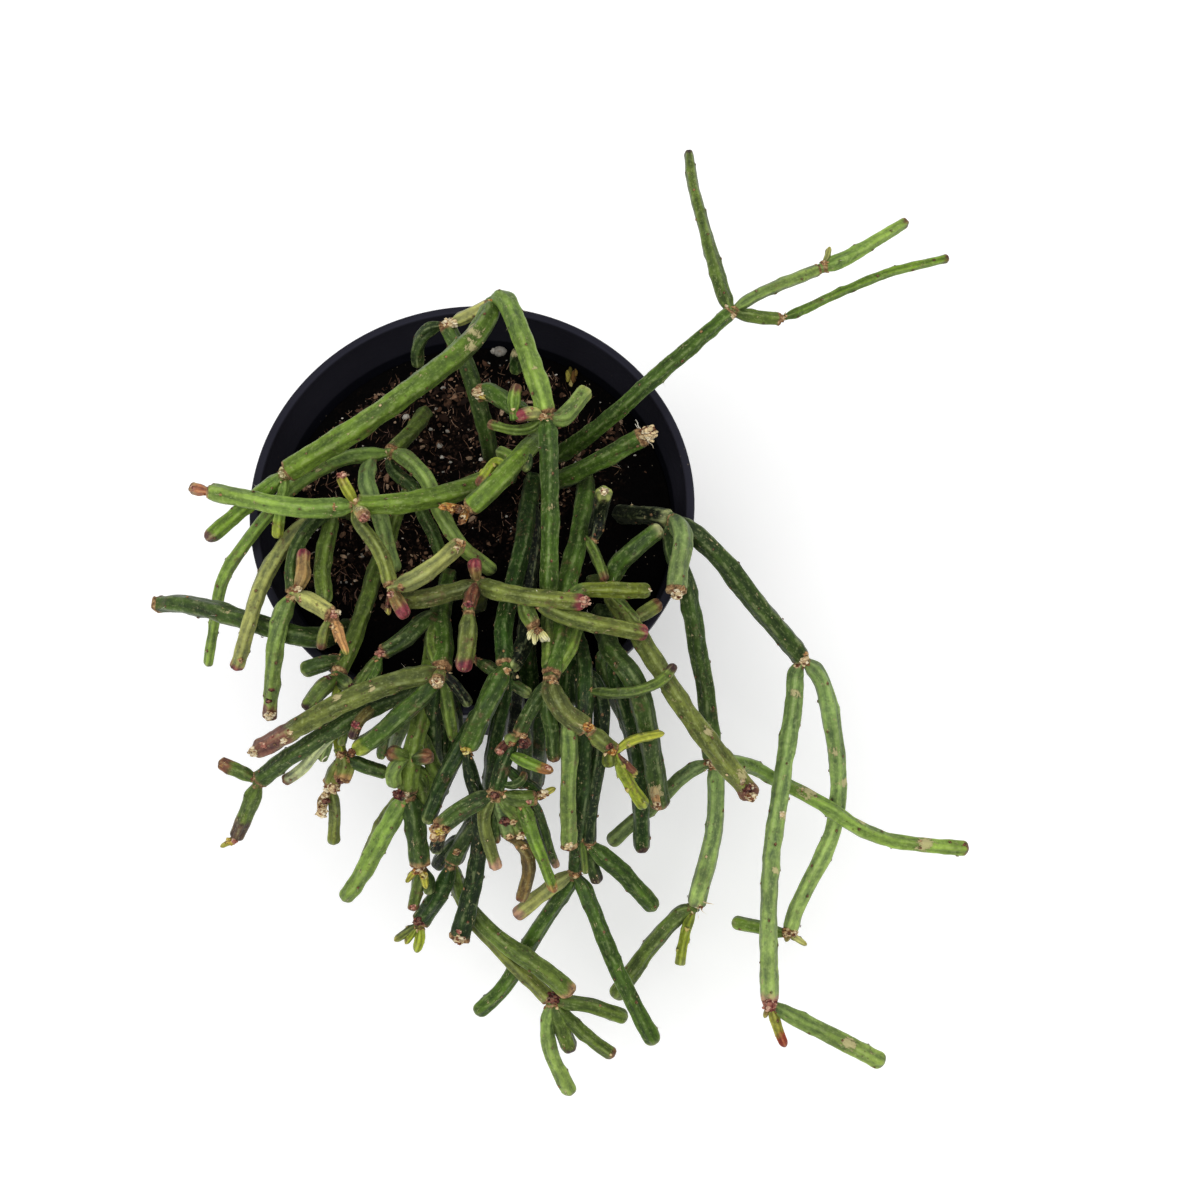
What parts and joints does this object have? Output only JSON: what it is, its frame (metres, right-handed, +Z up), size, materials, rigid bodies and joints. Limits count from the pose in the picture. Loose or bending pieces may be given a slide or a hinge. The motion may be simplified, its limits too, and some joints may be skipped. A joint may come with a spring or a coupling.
{
  "type": "mistletoe cactus",
  "caption": "Potted mistletoe cactus: leafless jointed green stems that branch at corky joints and spill over the rim of a round, tapered plastic nursery pot filled with soil",
  "frame": {"origin": "middle of the pot's foot, on the surface that the pot stands on", "axes": "+Z up along the pot's axis, -Y towards the front, where most of the stems hang over the rim, +X to the right"},
  "size_m": [0.2, 0.2342, 0.1175],
  "materials": {
    "pot_plastic": "satin",
    "potting_soil": "matte",
    "bright_stem": "satin",
    "olive_stem": "satin",
    "deep_stem": "satin"
  },
  "bodies": {
    "root": {"pot": "pot_plastic", "soil": "potting_soil", "back_arch_spray": "bright_stem", "left_bright_spray": "bright_stem", "top_bright_stem": "bright_stem", "right_cut_stem": "bright_stem", "back_right_spray": "bright_stem", "right_trailing_spray": "bright_stem", "inner_joint_spray": "olive_stem", "centre_spray": "olive_stem", "right_forked_spray": "olive_stem", "left_hanging_spray": "olive_stem", "front_left_fan": "olive_stem", "left_fork_spray": "olive_stem", "front_centre_spray": "deep_stem", "front_right_arch": "deep_stem", "front_right_spray": "deep_stem", "front_low_spray": "deep_stem", "left_front_spray": "deep_stem", "left_low_stem": "deep_stem"}
  },
  "joints": []
}
